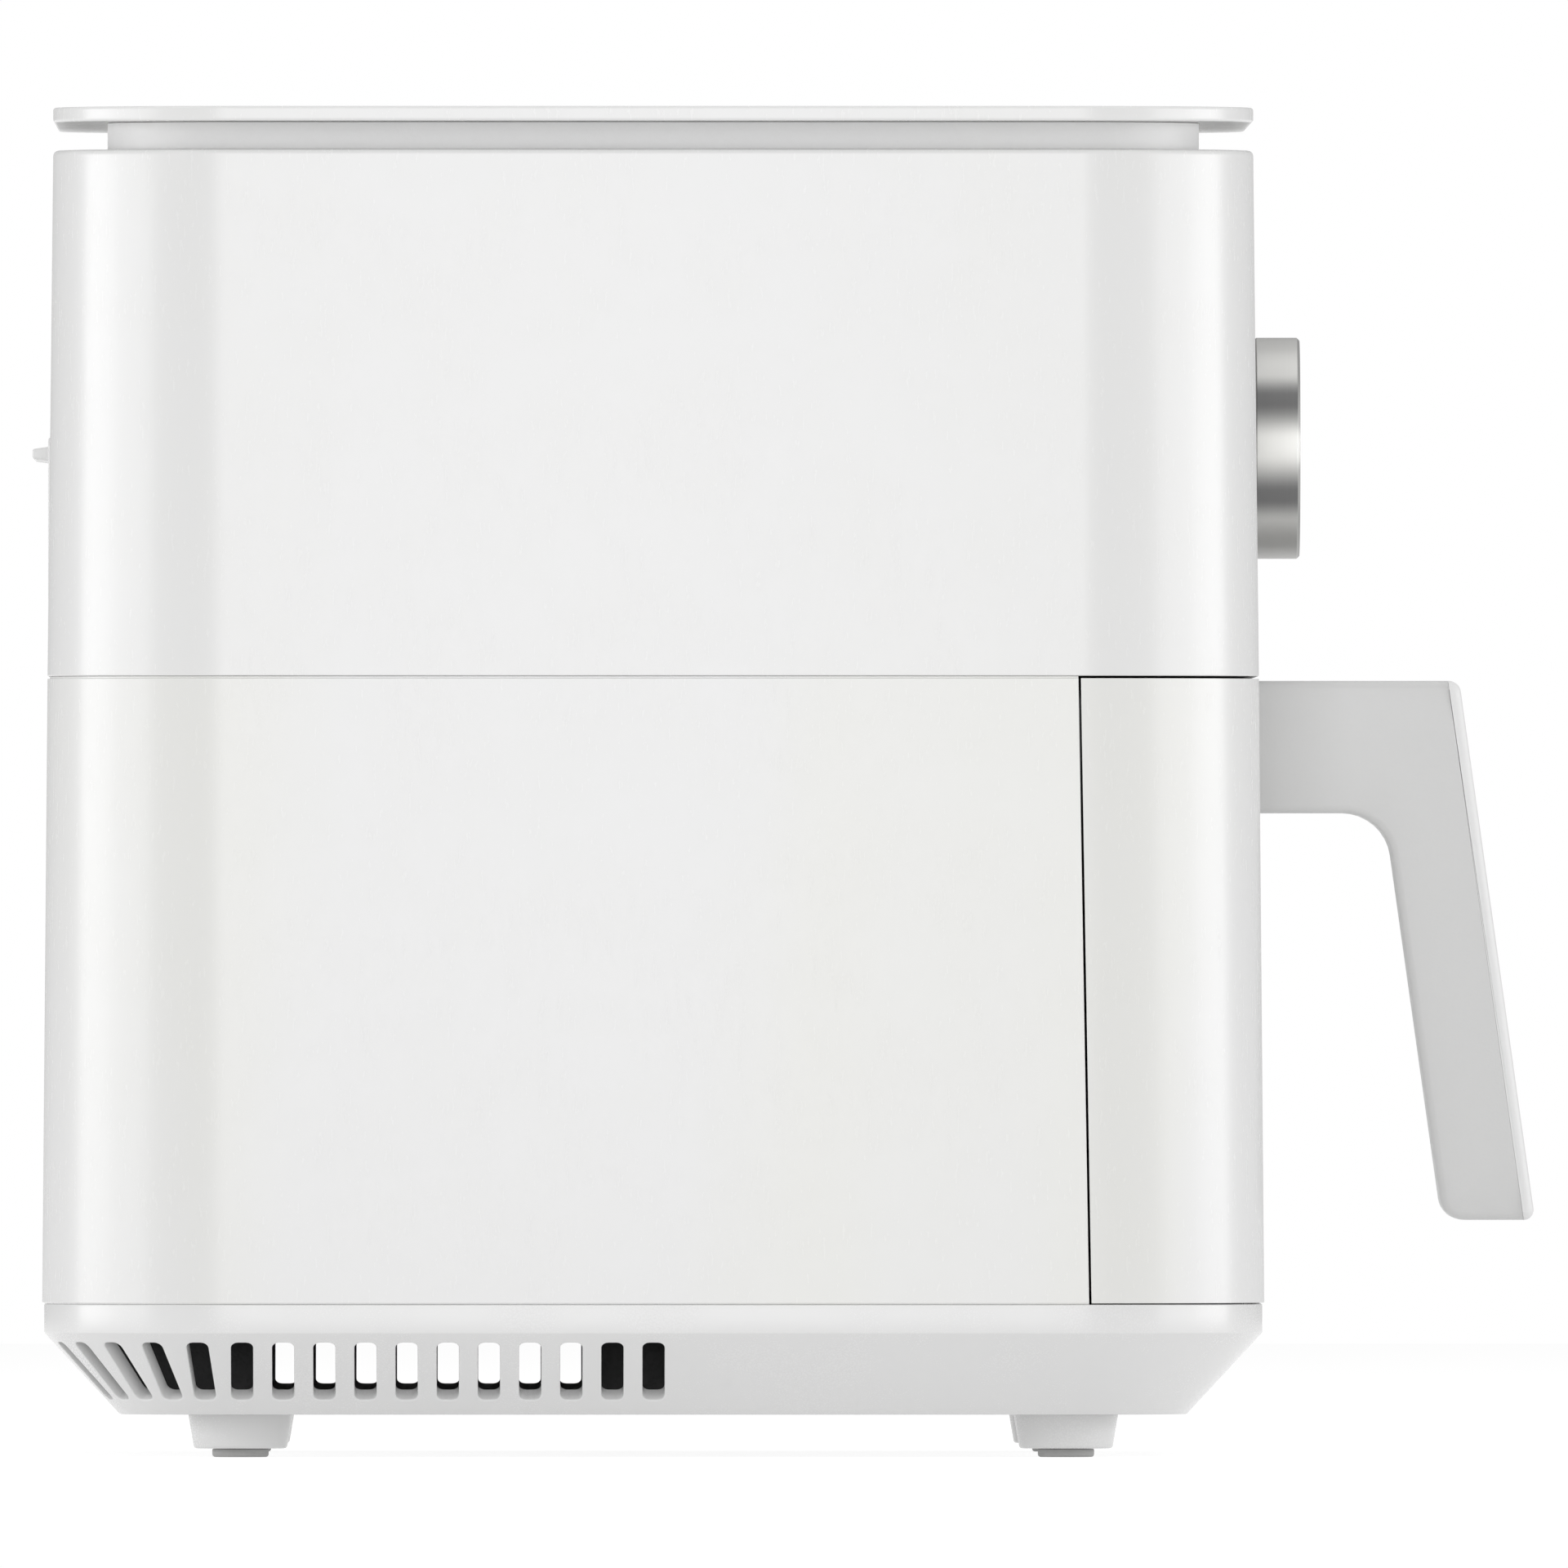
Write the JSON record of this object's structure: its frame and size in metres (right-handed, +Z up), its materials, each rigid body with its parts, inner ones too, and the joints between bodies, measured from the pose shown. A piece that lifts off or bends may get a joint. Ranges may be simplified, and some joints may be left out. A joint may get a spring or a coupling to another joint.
{
  "type": "air fryer",
  "caption": "Countertop air fryer with a pull-out drawer, a lift-out crisper tray, a turning front dial with a push button, and a vented base.",
  "frame": {"origin": "centre of the footprint box, handle included, on the surface the object stands on", "axes": "+X to the front, the way the drawer pulls out; +Y to the right of someone who faces the front; +Z up"},
  "size_m": [0.3692, 0.291, 0.3301],
  "materials": {
    "gloss_white": "glossy moulded white",
    "satin_white": "fine satin white",
    "pale_grey": "fine matte pale grey",
    "black_plastic": "fine-grained black",
    "grey_rubber": "matte grey rubber",
    "silicone": "matte black silicone",
    "satin_metal": "satin spun metal",
    "zinc_sheet": "zinc-coated sheet",
    "bright_steel": "bright steel",
    "dark_coat": "dark non-stick coat with a fine fleck",
    "heater_sheath": "heat-darkened sheath",
    "copper_winding": "varnished copper",
    "circuit_board": "green solder mask",
    "display_glass": "dark glass",
    "plunger_plastic": "natural nylon"
  },
  "bodies": {
    "housing": {"top_plate": "gloss_white", "upper_housing": "gloss_white", "lower_housing": "gloss_white", "base_pan": "satin_white", "air_outlet_cover": "satin_white", "foot_front_left": "satin_white", "foot_front_right": "satin_white", "foot_rear_left": "satin_white", "foot_rear_right": "satin_white", "top_neck": "pale_grey", "mid_plate": "black_plastic", "base_deck": "black_plastic", "exhaust_duct": "black_plastic", "front_frame": "black_plastic", "thermal_cutout": "black_plastic", "knob_hub": "black_plastic", "switch_body": "black_plastic", "cord_gland": "grey_rubber", "foot_pad_front_left": "grey_rubber", "foot_pad_front_right": "grey_rubber", "foot_pad_rear_left": "grey_rubber", "foot_pad_rear_right": "grey_rubber", "chamber_liner": "zinc_sheet", "reflector_hood": "zinc_sheet", "heater_support_1": "zinc_sheet", "heater_support_2": "zinc_sheet", "heater_support_3": "zinc_sheet", "motor_bracket": "zinc_sheet", "rail_left": "bright_steel", "rail_right": "bright_steel", "heater_guard": "bright_steel", "temperature_sensor": "bright_steel", "motor_can": "bright_steel", "bearing_lower": "bright_steel", "bearing_upper": "bright_steel", "heater_element": "heater_sheath", "motor_stator": "copper_winding", "power_board": "circuit_board", "control_board": "circuit_board"},
    "drawer": {"drawer_front": "gloss_white", "drawer_inner_cover": "black_plastic", "fry_pot": "dark_coat", "handle": "pale_grey", "handle_cover": "satin_white", "handle_bolt_1": "bright_steel", "handle_bolt_2": "bright_steel"},
    "tray": {"crisper_tray": "dark_coat", "tray_bumper_front": "silicone", "tray_bumper_right": "silicone", "tray_bumper_rear": "silicone", "tray_bumper_left": "silicone"},
    "dial": {"knob_ring": "satin_metal"},
    "button": {"button_cap": "black_plastic", "display_lens": "display_glass"},
    "fan": {"motor_shaft": "bright_steel", "motor_rotor": "bright_steel", "cooling_fan": "black_plastic", "hot_fan": "zinc_sheet", "fan_nut": "bright_steel"},
    "plunger": {"switch_plunger": "plunger_plastic"}
  },
  "joints": [
    {"name": "drawer_slide", "type": "slide", "parent": "housing", "child": "drawer", "axis": [1, 0, 0], "range_m": [0, 0.235]},
    {"name": "tray_lift", "type": "slide", "parent": "drawer", "child": "tray", "axis": [0, 0, 1], "range_m": [0, 0.1]},
    {"name": "dial_turn", "type": "hinge", "parent": "housing", "child": "dial", "pos_m": [0.12062, 0, 0.2475], "axis": [1, 0, 0], "continuous": true},
    {"name": "button_press", "type": "slide", "parent": "housing", "child": "button", "axis": [-1, 0, 0], "range_m": [0, 0.0012], "stiffness_N_per_m": 900, "springref_m": -0.0008},
    {"name": "fan_spin", "type": "hinge", "parent": "housing", "child": "fan", "pos_m": [-0.04088, 0, 0.23], "axis": [0, 0, 1], "continuous": true},
    {"name": "switch_travel", "type": "slide", "parent": "housing", "child": "plunger", "axis": [-1, 0, 0], "range_m": [0, 0.001], "stiffness_N_per_m": 250, "springref_m": -0.0012}
  ]
}
